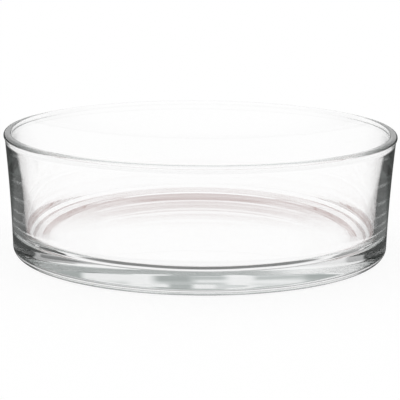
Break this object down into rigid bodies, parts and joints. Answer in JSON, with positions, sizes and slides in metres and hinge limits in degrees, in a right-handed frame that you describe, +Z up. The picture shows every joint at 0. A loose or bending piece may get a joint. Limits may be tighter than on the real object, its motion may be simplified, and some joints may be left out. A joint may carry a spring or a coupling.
{
  "type": "floating candle bowl",
  "caption": "Low round clear glass bowl with a thick flat base and a beaded rim, filled with water for floating candles.",
  "frame": {"origin": "centre of the base plane that the bowl stands on", "axes": "+Z up along the bowl's axis of turning, out of the mouth; +X and +Y are any two directions at right angles across the round bowl, with -Y toward the picture's camera"},
  "size_m": [0.19, 0.19, 0.06],
  "materials": {
    "clear_glass": "fire-polished, clear"
  },
  "bodies": {
    "root": {"glass_bowl": "clear_glass"}
  },
  "joints": []
}
